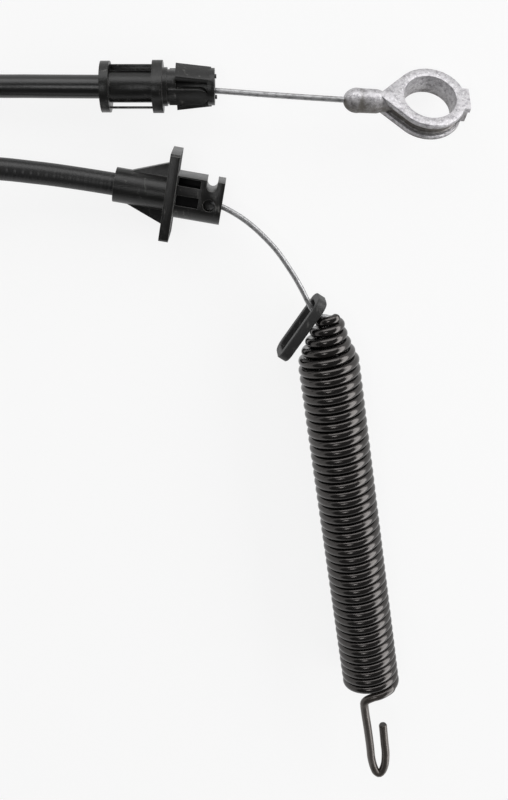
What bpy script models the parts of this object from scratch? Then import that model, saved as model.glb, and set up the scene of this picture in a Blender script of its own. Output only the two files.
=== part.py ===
# Mower clutch cable: a conduit between a snap-in fitting and a flanged anchor, with an inner wire that
# runs from a cast eye to a long extension spring. The cable lies on the floor, which is z = 0.
# All sizes are in metres.
import math

import bmesh
import bpy
from mathutils import Matrix, Vector

# Conduit and wire
conduit_radius = 0.0030
armour_radius = 0.0024
armour_groove = 0.0003
liner_radius = 0.0014
wire_radius = 0.00075
clearance = 0.0003
overlap = 0.0005
beyond = 0.001

# Snap-in fitting, measured along its axis from the rear face
fitting_length = 0.0293
fitting_start = (-0.04745, 0.10425)
fitting_roll = math.radians(55)
rear_collar_radius = 0.0065
rear_collar_width = 0.0023
cage_length = 0.0110
sleeve_wall = 0.0013
rail_inner = 0.0050
rail_thickness = 0.0005
rail_web = 0.0010
rail_width = 0.0030
rail_sides = (135, 315)
front_collar_radius = 0.00635
front_collar_width = 0.0027
lobe_height = 0.00035
step_ring_radius = 0.0049
step_ring_width = 0.0011
neck_radius = 0.0044
neck_width = 0.0023
nose_core_radius = 0.0034
end_plate_radius = 0.0047
end_plate_width = 0.0017
finger_reach = 0.0056
finger_end_reach = 0.0043
finger_thickness = 0.0014
finger_width = 0.0052
boss_width = 0.0050
boss_reach = 0.0042
boss_into_plate = 0.0002
nub_radius = 0.00055
nub_height = 0.0005
nub_offset = 0.0034
nose_mouth_radius = 0.0023

# Cast eye
eye_place = (0.03694, 0.10014)
eye_tilt = math.radians(47)
eye_radius = 0.00935
eye_hole_radius = 0.0068
eye_thickness = 0.0057
eye_flange = 0.0016
eye_groove = 0.0011
eye_tip = 0.0140
eye_dip = math.radians(5)
barrel_radius = 0.0033
barrel_start = 0.0222
barrel_end = 0.0088
barrel_dome = 0.0025
barrel_taper = (0.0160, 0.0127)
barrel_neck_radius = 0.0026
wire_depth_in_eye = 0.0080
lug_reach = 0.0104
lug_width = 0.0066

# Flanged anchor, measured along its axis from the sleeve's rear face
anchor_start = (-0.04506, 0.07913)
anchor_turn = math.radians(-9.9)
sleeve_radius = 0.0046
anchor_socket = 0.0090
flange_from = 0.0138
flange_thickness = 0.0026
flange_half_length = 0.0116
flange_half_width = 0.0072
flange_chamfer = 0.0005
gusset_thickness = 0.0020
gusset_start = 0.0030
gusset_height = 0.0087
block_end = 0.0290
block_half_height = 0.0060
block_half_depth = 0.0046
pocket_length = 0.0060
notch_width = 0.0028
notch_depth = 0.0028
prong_width = 0.0020
side_hole_radius = 0.00165
side_hole_depth = 0.0024
anchor_mouth_radius = 0.0026
anchor_liner_reach = 0.0042
pocket_start = 0.0003
pocket_rows = ((0.0034, 0.0056, 0.0032), (-0.0019, 0.0009, 0.0021))
side_hole_height = -0.0005

# Extension spring, measured along its axis from the centre of its first turn
spring_mouth = (0.01115, 0.04145)
spring_turn = math.radians(8.5)
spring_wire_radius = 0.00118
spring_radius = 0.00755
spring_mouth_radius = 0.00275
spring_mouth_offset = 0.0017
spring_pitch = 0.00267
spring_turns = 44.6
lead_in_turns = 0.42
cone_turns = 4.3
straight_turns = 4.0
turn_steps = 12
hook_reach = 0.0343
hook_heights = (0.0018, 0.0059)
hook_rise = 0.0012
leg_start = -0.0283
hook_step = 0.0014
crossing_route = (
    (0.0004, 0.0053, 0.0054), (0.0012, 0.0024, 0.0069), (0.0022, -0.0004, 0.0071), (0.0036, -0.0026, 0.0065),
    (0.0060, -0.0031, 0.0059),
)
leg_route = ((-0.0190, -0.0034), (-0.0120, -0.0036), (-0.0075, -0.00355), (-0.0039, -0.0033))
bend_route = ((-0.0013, -0.00275), (-0.0003, -0.0021), (0, -0.00155), (-0.0003, -0.0010), (-0.0013, -0.0003))
return_route = ((-0.0039, 0.0005), (-0.0080, 0.0011), (-0.0121, 0.0012), (-0.0196, 0.0015))

# Swaged end of the inner wire, inside the spring's mouth
wire_end_radius = 0.0023
wire_end_length = 0.0070
wire_end_from = 0.0050
wire_lead = 0.0009
spring_throat = (-0.0002, 0.0022, 0)
wire_end_edge = 0.0006
wire_end_skin = 0.0015

# Retainer link
link_place = (0.00520, 0.03920, 0.0069)
link_turn = math.radians(236.1)
link_tilt = math.radians(3)
link_length = 0.0204
link_width = 0.0100
link_thickness = 0.0028
link_rim = 0.0021
link_corner = 0.0030
link_hole_corner = 0.0011

# Spare conduit, wound for storage
coil_centre = (-0.1325, 0.0942)
coil_radius = 0.0360
coil_layers = 3
coil_slack = 0.0001
tie_thickness = 0.0008
tie_width = 0.0040
tie_angles = (120, 240)
tie_head = 0.0030
tie_head_rise = 0.0018
tie_head_side = 0.0006

# Routes of the conduit between its fittings and the coil, and of the wire between anchor and spring
upper_route = [
    (-0.0550, 0.10425, 0.0063), (-0.0660, 0.10425, 0.0056), (-0.0774, 0.10428, 0.0047),
    (-0.0850, 0.10525, 0.0043), (-0.0936, 0.10830, 0.0041),
]
lower_route = [
    (-0.0550, 0.08075, 0.0073), (-0.0650, 0.08225, 0.0080), (-0.0774, 0.08382, 0.0102),
    (-0.0850, 0.08305, 0.0122), (-0.0936, 0.08005, 0.0146),
]
wire_bow = ((0.33, -0.0006), (0.65, 0.0004))
wire_route = [
    (-0.0215, 0.07480, 0.0072), (-0.0155, 0.07258, 0.0073), (-0.0091, 0.06849, 0.0076),
    (-0.0026, 0.06217, 0.0079), (0.0019, 0.05591, 0.0081), (0.0049, 0.05089, 0.0083),
    (0.0078, 0.04579, 0.0084),
]

# Places that follow from the sizes
fitting_height = front_collar_radius + lobe_height
cage_end = rear_collar_width + cage_length
front_collar_end = cage_end + front_collar_width
neck_start = front_collar_end + step_ring_width
nose_start = neck_start + neck_width
end_plate_start = fitting_length - end_plate_width
flange_to = flange_from + flange_thickness
block_axis_height = flange_half_width
spring_height = spring_radius + spring_wire_radius
armour_bore = armour_radius + clearance
liner_bore = liner_radius + clearance
wire_bore = wire_radius + clearance
wire_end_bottom = wire_end_from + wire_end_length - wire_end_skin
armour_socket = rear_collar_width - clearance
layer_pitch = 2 * (conduit_radius + coil_slack / 2)
coil_floor = tie_thickness + clearance
coil_top = coil_floor + coil_layers * layer_pitch
coil_half_width = conduit_radius + coil_slack
link_hole_width = link_width - 2 * link_rim
link_hole_length = link_length - 2 * link_rim

route_step = 0.005
wire_step = 0.0035
round_steps = 32
small_round_steps = 20


def clear_scene():
    for old in list(bpy.data.objects):
        bpy.data.objects.remove(old)


def material(name, colour, roughness, metallic=0.0):
    made = bpy.data.materials.new(name)
    made.use_nodes = True
    shader = made.node_tree.nodes["Principled BSDF"]
    shader.inputs["Base Color"].default_value = (*colour, 1.0)
    shader.inputs["Roughness"].default_value = roughness
    shader.inputs["Metallic"].default_value = metallic
    return made


def placed(name, mesh_or_curve, place=None):
    made = bpy.data.objects.new(name, mesh_or_curve)
    bpy.context.scene.collection.objects.link(made)
    if place is not None:
        made.matrix_world = place
    return made


def mesh_from(name, build):
    """A mesh filled by build(bm), with its faces turned outward."""
    bm = bmesh.new()
    build(bm)
    bmesh.ops.recalc_face_normals(bm, faces=bm.faces)
    mesh = bpy.data.meshes.new(name)
    bm.to_mesh(mesh)
    bm.free()
    return mesh


def turned(name, profile, steps=round_steps, place=None):
    """A profile of (along, radius) points spun round the X axis; points on the axis close it."""
    def build(bm):
        corners = [bm.verts.new((along, radius, 0)) for along, radius in profile]
        edges = [bm.edges.new(pair) for pair in zip(corners, corners[1:])]
        if profile[0][1] > 0:
            edges.append(bm.edges.new((corners[-1], corners[0])))
        bmesh.ops.spin(bm, geom=corners + edges, axis=(1, 0, 0), cent=(0, 0, 0),
                       angle=2 * math.pi, steps=steps, use_merge=True)
        bmesh.ops.remove_doubles(bm, verts=bm.verts, dist=1e-6)
    return placed(name, mesh_from(name, build), place)


def extruded(name, outline, depth_from, depth_to, place=None):
    """An outline of (x, y) points carried from one z to another."""
    def build(bm):
        face = bm.faces.new([bm.verts.new((x, y, depth_from)) for x, y in outline])
        moved = bmesh.ops.extrude_face_region(bm, geom=[face])
        verts = [v for v in moved["geom"] if isinstance(v, bmesh.types.BMVert)]
        bmesh.ops.translate(bm, verts=verts, vec=(0, 0, depth_to - depth_from))
    return placed(name, mesh_from(name, build), place)


def block(name, low, high, place=None):
    outline = [(low[0], low[1]), (high[0], low[1]), (high[0], high[1]), (low[0], high[1])]
    return extruded(name, outline, low[2], high[2], place)


def combine(base, others, operation="UNION"):
    """Joins others to base, or cuts them from it, and keeps the result on base."""
    for other in others:
        step = base.modifiers.new("combine", "BOOLEAN")
        step.operation = operation
        step.object = other
        bpy.context.view_layer.update()
        solid = base.evaluated_get(bpy.context.evaluated_depsgraph_get())
        mesh = bpy.data.meshes.new_from_object(solid)
        base.modifiers.clear()
        base.data = mesh
        bpy.data.objects.remove(other)
    return base


def finish(piece, name, surface, smooth_angle=35):
    piece.name = name
    piece.data.name = name
    piece.data.materials.clear()
    piece.data.materials.append(surface)
    if piece.type == "MESH":
        piece.data.shade_smooth()
        piece.data.set_sharp_from_angle(angle=math.radians(smooth_angle))
    return piece


def arc(centre, radius, start, end, steps):
    """Points round a circle, angles in degrees."""
    angles = [math.radians(start + (end - start) * k / steps) for k in range(steps + 1)]
    return [(centre[0] + radius * math.cos(a), centre[1] + radius * math.sin(a)) for a in angles]


def rounded_bar(half_length, half_width, corner, steps=4):
    """Outline of a bar with rounded corners, centred, along X."""
    outline = []
    for sx, sy, start in ((1, 1, 0), (-1, 1, 90), (-1, -1, 180), (1, -1, 270)):
        centre = (sx * (half_length - corner), sy * (half_width - corner))
        outline += arc(centre, corner, start, start + 90, steps)
    return outline


def smooth_route(points, step):
    """Points about one step apart on a Catmull-Rom curve through the given points."""
    points = [Vector(p) for p in points]
    ends = [2 * points[0] - points[1], *points, 2 * points[-1] - points[-2]]
    route = [points[0]]
    for a, b, c, d in zip(ends, ends[1:], ends[2:], ends[3:]):
        parts = max(1, round((c - b).length / step))
        for k in range(1, parts + 1):
            t = k / parts
            route.append(0.5 * (2 * b + (c - a) * t + (2 * a - 5 * b + 4 * c - d) * t ** 2
                                + (3 * b - a - 3 * c + d) * t ** 3))
    return route


def tube(name, route, radius, surface, resolution=2):
    """A round bar along a route of world points."""
    curve = bpy.data.curves.new(name, "CURVE")
    curve.dimensions = "3D"
    curve.bevel_depth = radius
    curve.bevel_resolution = resolution
    curve.use_fill_caps = True
    spline = curve.splines.new("POLY")
    spline.points.add(len(route) - 1)
    for point, place in zip(spline.points, route):
        point.co = (*place, 1)
    curve.materials.append(surface)
    return placed(name, curve)


def axes_frame(origin, along, up):
    """A frame with X along, and Z as near to up as it can be."""
    x = Vector(along).normalized()
    z = (Vector(up) - x * x.dot(Vector(up))).normalized()
    y = z.cross(x)
    frame = Matrix((x, y, z)).transposed().to_4x4()
    frame.translation = Vector(origin)
    return frame


# Outlines in the (y, z) plane, carried along X
across = Matrix(((0, 0, 1, 0), (1, 0, 0, 0), (0, 1, 0, 0), (0, 0, 0, 1)))

# Frames of the four stiff ends. X runs along each piece.
fitting_frame = axes_frame((*fitting_start, fitting_height), (1, 0, 0),
                           (0, math.sin(fitting_roll), math.cos(fitting_roll)))
anchor_frame = axes_frame((*anchor_start, block_axis_height),
                          (math.cos(anchor_turn), math.sin(anchor_turn), 0), (0, 0, 1))
spring_frame = axes_frame((*spring_mouth, spring_height),
                          (math.sin(spring_turn), -math.cos(spring_turn), 0), (0, 0, 1))
liner_end = front_collar_end - overlap
wire_start = fitting_frame @ Vector((cage_end, 0, 0))
eye_yaw = math.atan2(eye_place[1] - wire_start.y, eye_place[0] - wire_start.x)
eye_along = Matrix.Rotation(eye_yaw, 3, "Z") @ Vector((math.cos(eye_dip), 0, -math.sin(eye_dip)))
eye_frame = axes_frame((0, 0, 0), eye_along, (0, math.sin(eye_tilt), math.cos(eye_tilt)))
face_up = eye_frame[2][2]
eye_height = eye_radius * math.sqrt(1 - face_up ** 2) + eye_thickness / 2 * face_up
eye_frame.translation = (*eye_place, eye_height)
link_along = Vector((math.cos(link_turn), math.sin(link_turn), 0))
link_face = Matrix.Rotation(-link_tilt, 3, link_along) @ Vector((-math.sin(link_turn), math.cos(link_turn), 0))
link_frame = axes_frame(link_place, link_along, -link_face)


def fitting(surface):
    """One moulding: two collars with a cage between them, and a nose with two snap fingers."""
    outer = [
        (0, rear_collar_radius), (rear_collar_width, rear_collar_radius),
        (rear_collar_width, armour_bore + sleeve_wall), (cage_end, armour_bore + sleeve_wall),
        (cage_end, step_ring_radius), (neck_start, step_ring_radius), (neck_start, neck_radius),
        (nose_start, neck_radius), (nose_start, nose_core_radius),
        (end_plate_start, nose_core_radius), (end_plate_start, end_plate_radius),
        (fitting_length, end_plate_radius),
    ]
    inner = [
        (fitting_length, nose_mouth_radius), (front_collar_end, liner_bore),
        (cage_end + clearance, liner_bore), (cage_end + clearance, armour_bore), (armour_socket, armour_bore),
        (armour_socket, conduit_radius + clearance), (0, conduit_radius + clearance),
    ]
    body = turned("fitting_body", outer + inner)
    lobes = [front_collar_radius + lobe_height * math.cos(4 * (a - fitting_roll))
             for a in (2 * math.pi * k / round_steps for k in range(round_steps))]
    collar = [(radius * math.cos(2 * math.pi * k / round_steps),
               radius * math.sin(2 * math.pi * k / round_steps)) for k, radius in enumerate(lobes)]
    ring = extruded("front_collar", collar, cage_end, front_collar_end, across)
    hollow_radius = (armour_bore + step_ring_radius) / 2
    hollow = turned("hollow", [(cage_end - beyond, 0), (cage_end - beyond, hollow_radius),
                               (front_collar_end + beyond, hollow_radius), (front_collar_end + beyond, 0)])
    combine(ring, [hollow], "DIFFERENCE")
    pieces = [ring]
    for side in rail_sides:
        turn = Matrix.Rotation(math.radians(side), 4, "X")
        pieces.append(block("rail", (rear_collar_width - overlap, -rail_width / 2, rail_inner),
                            (cage_end + overlap, rail_width / 2, rail_inner + rail_thickness), turn))
    web_turn = Matrix.Rotation(math.radians(rail_sides[1]), 4, "X")
    pieces.append(block("web", (rear_collar_width - overlap, -rail_web / 2, armour_bore + sleeve_wall / 2),
                        (cage_end + overlap, rail_web / 2, rail_inner + overlap / 2), web_turn))
    for side in (0, 180):
        turn = Matrix.Rotation(math.radians(side), 4, "X")
        root = end_plate_start + end_plate_width / 2
        finger = [(nose_start, finger_reach - finger_thickness), (root, finger_end_reach - finger_thickness),
                  (root, finger_end_reach), (nose_start, finger_reach)]
        flat = turn @ Matrix.Rotation(math.radians(90), 4, "X")
        pieces.append(extruded("finger", finger, -finger_width / 2, finger_width / 2, flat))
        centre = (end_plate_start - boss_width / 2 + boss_into_plate, 0)
        boss = [(neck_start + overlap, boss_width / 2), (neck_start + overlap, -boss_width / 2)]
        boss += arc(centre, boss_width / 2, -90, 90, 8)
        raised = Matrix.Rotation(math.radians(side + 90), 4, "X")
        pieces.append(extruded("boss", boss, nose_core_radius - overlap, boss_reach, raised))
        nub = Matrix.Translation((0, 0, math.copysign(nub_offset, 90 - side)))
        pieces.append(turned("nub", [(end_plate_start + overlap, 0), (end_plate_start + overlap, nub_radius),
                                     (fitting_length + nub_height, nub_radius), (fitting_length + nub_height, 0)],
                             8, nub))
    combine(body, pieces)
    body.matrix_world = fitting_frame
    return finish(body, "snap_in_fitting", surface)


def teardrop(radius, tip, steps):
    """Outline round a circle with two straight sides that meet at a tip on the left."""
    touch = math.degrees(math.acos(radius / tip))
    return [*arc((0, 0), radius, -180 + touch, 180 - touch, steps), (-tip, 0)]


def eye(surface):
    """One casting: a ring between two teardrop flanges, a barrel round the wire, and a lug."""
    half = eye_thickness / 2
    web = teardrop(eye_radius - eye_groove, eye_tip - 2 * eye_groove, round_steps)
    body = extruded("eye_body", web, -half + eye_flange / 2, half - eye_flange / 2)
    drop = teardrop(eye_radius, eye_tip, round_steps)
    dome = [(-barrel_start + barrel_dome * (1 - math.cos(a)), barrel_radius * math.sin(a))
            for a in (math.radians(15 * k) for k in range(7))]
    barrel = turned("barrel", [*dome, (-barrel_taper[0], barrel_radius), (-barrel_taper[1], barrel_neck_radius),
                               (-barrel_end, barrel_neck_radius), (-barrel_end, 0)], 24)
    lug = block("lug", (eye_hole_radius + overlap, -lug_width / 2, -half), (lug_reach, lug_width / 2, half))
    combine(body, [extruded("top_flange", drop, half - eye_flange, half),
                   extruded("low_flange", drop, -half, -half + eye_flange), barrel, lug])
    hole = extruded("hole", arc((0, 0), eye_hole_radius, 0, 360, round_steps)[:-1], -2 * half, 2 * half)
    bore_end = -barrel_start + wire_depth_in_eye + clearance
    bore = turned("bore", [(-barrel_start - beyond, 0), (-barrel_start - beyond, wire_bore),
                           (bore_end, wire_bore), (bore_end, 0)], 16)
    combine(body, [hole, bore], "DIFFERENCE")
    body.matrix_world = eye_frame
    return finish(body, "cable_eye", surface)


def anchor(surface):
    """One moulding: a sleeve, a flange held by two gussets, and a nose block with a notch."""
    body = turned("sleeve", [(0, 0), (0, sleeve_radius), (flange_to, sleeve_radius), (flange_to, 0)])
    c = flange_chamfer
    plate = [(flange_half_length, flange_half_width - c), (flange_half_length - c, flange_half_width),
             (-flange_half_length + c, flange_half_width), (-flange_half_length, flange_half_width - c),
             (-flange_half_length, -flange_half_width + c), (-flange_half_length + c, -flange_half_width),
             (flange_half_length - c, -flange_half_width), (flange_half_length, -flange_half_width + c)]
    flange = extruded("flange", plate, flange_from, flange_to, across)
    gusset = [(gusset_start, 0), (gusset_start, sleeve_radius - overlap), (flange_from + beyond, gusset_height),
              (flange_from + beyond, -gusset_height), (gusset_start, -sleeve_radius + overlap)]
    web = extruded("gusset", gusset, -gusset_thickness / 2, gusset_thickness / 2)
    nose = [(block_half_height, -block_half_depth), (block_half_height, block_half_depth)]
    low = arc((-block_half_height + block_half_depth, 0), block_half_depth, 90, 270, 10)
    nose_block = extruded("nose", nose + low, flange_to - beyond, block_end, across)
    combine(body, [flange, web, nose_block])
    pockets = []
    for side in (-1, 1):
        for low_y, high_y, depth in pocket_rows:
            near, far = sorted((side * (block_half_depth - depth), side * (block_half_depth + beyond)))
            pockets.append(block("pocket", (flange_to + pocket_start, low_y, near),
                                 (flange_to + pocket_start + pocket_length, high_y, far)))
    notch_end = block_end - prong_width
    notch_middle = (notch_end - notch_width / 2, block_half_height - notch_depth + notch_width / 2)
    notch = [(notch_end, block_half_height + beyond),
             (notch_end - notch_width, block_half_height + beyond)]
    notch += arc(notch_middle, notch_width / 2, 180, 360, 8)
    cut = extruded("notch", notch, -2 * block_half_depth, 2 * block_half_depth)
    hole = arc((notch_middle[0], side_hole_height), side_hole_radius, 0, 360, 16)[:-1]
    side_hole = extruded("side_hole", hole, block_half_depth - side_hole_depth, block_half_depth + beyond)
    liner_stop = flange_to + anchor_liner_reach + clearance
    bore = [(-beyond, 0), (-beyond, conduit_radius + clearance), (anchor_socket, conduit_radius + clearance),
            (anchor_socket, armour_bore), (flange_to, armour_bore), (flange_to, liner_bore),
            (liner_stop, liner_bore), (block_end + beyond, anchor_mouth_radius), (block_end + beyond, 0)]
    combine(body, [*pockets, cut, side_hole, turned("bore", bore, 24)], "DIFFERENCE")
    body.matrix_world = anchor_frame
    return finish(body, "flanged_anchor", surface)


def ringed_tube(name, frame, start, end, radius, bore, surface, grooves=0):
    """A straight tube, with shallow grooves round it where it is a wound armour."""
    profile = [(start, bore), (start, radius)]
    for k in range(grooves):
        middle = start + (end - start) * (k + 0.5) / grooves
        quarter = (end - start) / grooves / 4
        profile += [(middle - quarter, radius), (middle, radius - armour_groove), (middle + quarter, radius)]
    profile += [(end, radius), (end, bore)]
    return finish(turned(name, profile, small_round_steps, frame), name, surface)


def spring_line():
    """Centre line of the spring's wire: a cone of turns, the body, and a hook from its last turn."""
    line = []
    steps = round((spring_turns + lead_in_turns) * turn_steps)
    for k in range(steps + 1):
        turns = spring_turns - (steps - k) / turn_steps
        grown = min(1, turns / cone_turns)
        radius = spring_mouth_radius + (spring_radius - spring_mouth_radius) * grown
        aside = spring_mouth_offset * max(0, 1 - turns / straight_turns) ** 2
        angle = 2 * math.pi * turns + math.pi
        line.append(Vector((spring_pitch * turns, aside + radius * math.cos(angle), radius * math.sin(angle))))
    end = spring_pitch * spring_turns
    tip = end + hook_reach
    low, high = hook_heights
    fall, climb = leg_route[-1][0] - leg_start, return_route[-1][0]
    crossing = [(end + along, aside, height) for along, aside, height in crossing_route]
    leg = [(tip + along, aside, high + (low - high) * (along - leg_start) / fall)
           for along, aside in leg_route]
    bend = [(tip + along, aside, low) for along, aside in bend_route]
    back = [(tip + along, aside, low + hook_rise * along / climb) for along, aside in return_route]
    return line[:-1] + smooth_route([line[-1], *crossing, *leg, *bend, *back], hook_step)


def spring(surface):
    line = spring_line()
    return finish(tube("extension_spring", [spring_frame @ p for p in line], spring_wire_radius,
                       surface, 1), "extension_spring", surface)


def wire_end(surface):
    """The swaged end that the spring's first turns hold."""
    last = wire_end_from + wire_end_length
    edge = wire_end_edge
    profile = [(wire_end_bottom, 0), (wire_end_bottom, wire_bore), (wire_end_from, wire_bore),
               (wire_end_from, wire_end_radius - edge), (wire_end_from + edge, wire_end_radius),
               (last - edge, wire_end_radius), (last, wire_end_radius - edge), (last, 0)]
    return finish(turned("wire_end", profile, small_round_steps, spring_frame), "wire_end_stop", surface)


def link(surface):
    """The flat oblong ring that rides on the wire."""
    outline = rounded_bar(link_length / 2, link_width / 2, link_corner)
    body = extruded("link_body", outline, -link_thickness / 2, link_thickness / 2)
    hole = rounded_bar(link_hole_length / 2, link_hole_width / 2, link_hole_corner)
    combine(body, [extruded("link_hole", hole, -link_thickness, link_thickness)], "DIFFERENCE")
    body.matrix_world = link_frame
    return finish(body, "retainer_link", surface)


def coil(surface):
    """The outer shape of the wound turns."""
    near, far = coil_radius - coil_half_width, coil_radius + coil_half_width
    upright = Matrix.Rotation(math.radians(-90), 4, "Y")
    upright.translation = (*coil_centre, 0)
    edge = conduit_radius / 2
    profile = [(coil_floor, near + edge), (coil_floor, far - edge), (coil_floor + edge, far),
               (coil_top - edge, far), (coil_top, far - edge), (coil_top, near + edge),
               (coil_top - edge, near), (coil_floor + edge, near)]
    return finish(turned("conduit_coil", profile, 48, upright), "conduit_coil", surface)


def tie(name, angle, surface):
    """A strap round all the turns, with its head on the outer side."""
    turn = Matrix.Rotation(math.radians(angle), 4, "Z")
    turn.translation = (*coil_centre, 0)
    inside = coil_half_width + clearance
    outside = inside + tie_thickness
    low, high = tie_thickness, coil_top + clearance
    half = tie_width / 2
    strap = block("strap", (coil_radius - outside, -half, 0),
                  (coil_radius + outside, half, high + tie_thickness))
    head = block("head", (coil_radius + inside + tie_thickness / 2, -half - tie_head_side, high / 2 - tie_head),
                 (coil_radius + outside + tie_head_rise, half + tie_head_side, high / 2 + tie_head))
    combine(strap, [head])
    window = block("window", (coil_radius - inside, -tie_width, low), (coil_radius + inside, tie_width, high))
    combine(strap, [window], "DIFFERENCE")
    strap.matrix_world = turn
    return finish(strap, name, surface)


def build_cable():
    clear_scene()
    black_plastic = material("black_nylon", (0.022, 0.022, 0.024), 0.45)
    jacket = material("black_jacket", (0.015, 0.015, 0.016), 0.35)
    zinc = material("cast_zinc", (0.62, 0.62, 0.64), 0.38, 0.9)
    rope = material("steel_rope", (0.55, 0.55, 0.56), 0.35, 0.9)
    spring_steel = material("black_spring_steel", (0.02, 0.02, 0.021), 0.22, 0.3)
    white_liner = material("white_liner", (0.75, 0.75, 0.72), 0.5)
    bright_steel = material("bright_steel", (0.5, 0.5, 0.5), 0.3, 1.0)

    fitting(black_plastic)
    eye(zinc)
    anchor(black_plastic)
    spring(spring_steel)
    wire_end(bright_steel)
    link(black_plastic)
    coil(jacket)
    for letter, angle in zip("ab", tie_angles):
        tie(f"coil_tie_{letter}", angle, black_plastic)

    ringed_tube("upper_armour_end", fitting_frame, armour_socket, cage_end, armour_radius,
                liner_bore, bright_steel, 6)
    ringed_tube("upper_liner_end", fitting_frame, armour_socket, liner_end, liner_radius,
                wire_bore, white_liner)
    ringed_tube("lower_armour_end", anchor_frame, anchor_socket + clearance, flange_to - clearance,
                armour_radius, liner_bore, bright_steel, 4)
    ringed_tube("lower_liner_end", anchor_frame, anchor_socket + clearance, flange_to + anchor_liner_reach,
                liner_radius, wire_bore, white_liner)

    upper_end = fitting_frame @ Vector((armour_socket - clearance, 0, 0))
    upper_mouth = fitting_frame @ Vector((0, 0, 0))
    tube("conduit_upper_lead", smooth_route([upper_end, upper_mouth, *upper_route], route_step),
         conduit_radius, jacket, 3)
    lower_end = anchor_frame @ Vector((anchor_socket - clearance, 0, 0))
    lower_mouth = anchor_frame @ Vector((0, 0, 0))
    tube("conduit_lower_lead", smooth_route([lower_end, lower_mouth, *lower_route], route_step),
         conduit_radius, jacket, 3)

    first = fitting_frame @ Vector((armour_socket + clearance, 0, 0))
    eye_mouth = eye_frame @ Vector((-barrel_start, 0, 0))
    last = eye_frame @ Vector((-barrel_start + wire_depth_in_eye, 0, 0))
    bowed = [wire_start.lerp(eye_mouth, share) + Vector((0, 0, lift)) for share, lift in wire_bow]
    tube("upper_wire", smooth_route([first, wire_start, *bowed, eye_mouth, last], wire_step),
         wire_radius, rope, 2)
    inside = anchor_frame @ Vector((anchor_socket + clearance, 0, 0))
    liner_mouth = anchor_frame @ Vector((flange_to + anchor_liner_reach, 0, 0))
    stop = spring_frame @ Vector((wire_end_bottom - clearance, 0, 0))
    throats = [spring_frame @ Vector(place) for place in (spring_throat, (wire_end_from - wire_lead, 0, 0))]
    tube("lower_wire", smooth_route([inside, liner_mouth, *wire_route, *throats, stop], wire_step),
         wire_radius, rope, 2)


build_cable()
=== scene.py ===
import math

import bmesh
import bpy
import numpy as np
from mathutils import Matrix, Vector


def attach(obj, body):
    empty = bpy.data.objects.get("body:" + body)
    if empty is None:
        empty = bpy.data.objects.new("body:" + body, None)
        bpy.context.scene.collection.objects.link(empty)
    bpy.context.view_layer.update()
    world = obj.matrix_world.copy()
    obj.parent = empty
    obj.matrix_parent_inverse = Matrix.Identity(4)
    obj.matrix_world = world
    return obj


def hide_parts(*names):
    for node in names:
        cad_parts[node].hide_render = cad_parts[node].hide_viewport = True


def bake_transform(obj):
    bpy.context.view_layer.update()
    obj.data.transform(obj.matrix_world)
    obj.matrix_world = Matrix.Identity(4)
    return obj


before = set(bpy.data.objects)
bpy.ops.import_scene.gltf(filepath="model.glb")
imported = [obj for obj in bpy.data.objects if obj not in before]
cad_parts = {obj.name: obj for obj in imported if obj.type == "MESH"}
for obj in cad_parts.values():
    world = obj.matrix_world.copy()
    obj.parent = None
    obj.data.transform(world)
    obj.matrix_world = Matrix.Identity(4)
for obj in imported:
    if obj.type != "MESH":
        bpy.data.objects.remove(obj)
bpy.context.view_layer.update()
print("frame loaded:", len(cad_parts), "nodes")

uvStep = 0.01  # the map named along counts centimetres along a piece


# Arrays
def unit(vectors):
    return vectors / np.linalg.norm(vectors, axis=-1, keepdims=True)


def runAlong(line):
    # Distance along the line to each of its points
    return np.concatenate([[0], np.cumsum(np.linalg.norm(np.diff(line, axis=0), axis=1))])


def spaced(line, step):
    # The same line with points about one step apart, found by linear reading along its length
    run = runAlong(line)
    at = np.linspace(0, run[-1], max(2, int(round(run[-1] / step)) + 1))
    return np.stack([np.interp(at, run, line[:, k]) for k in range(3)], axis=1)


def throughPoints(points, step, between=24):
    # Catmull-Rom: p(t) = (2b + (c-a)t + (2a-5b+4c-d)t^2 + (3b-a-3c+d)t^3) / 2, then evenly spaced
    p = np.asarray(points, float)
    p = np.concatenate([[2 * p[0] - p[1]], p, [2 * p[-1] - p[-2]]])
    a, b, c, d = (p[k:len(p) - 3 + k, None] for k in range(4))
    t = np.linspace(0, 1, between, endpoint=False)[None, :, None]
    line = (2 * b + (c - a) * t + (2 * a - 5 * b + 4 * c - d) * t ** 2 + (3 * b - a - 3 * c + d) * t ** 3) / 2
    return spaced(np.concatenate([line.reshape(-1, 3), p[-2:-1]]), step)


def placedBy(matrix, grid):
    m = np.array(matrix)
    return grid @ m[:3, :3].T + m[:3, 3]


def axesFrame(origin, along, up):
    # X along, and Z as near to up as it can be
    x = Vector(along).normalized()
    z = (Vector(up) - x * x.dot(Vector(up))).normalized()
    made = Matrix((x, z.cross(x), z)).transposed().to_4x4()
    made.translation = Vector(origin)
    return made


def heading(degrees):
    # A flat direction, turned from X towards Y
    return Vector((math.cos(math.radians(degrees)), math.sin(math.radians(degrees)), 0))


def pointIn(matrix, x, y=0.0):
    return tuple(matrix @ Vector((x, y, 0)))


# Meshes
def linked(name, data):
    made = bpy.data.objects.new(name, data)
    bpy.context.scene.collection.objects.link(made)
    return made


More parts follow.
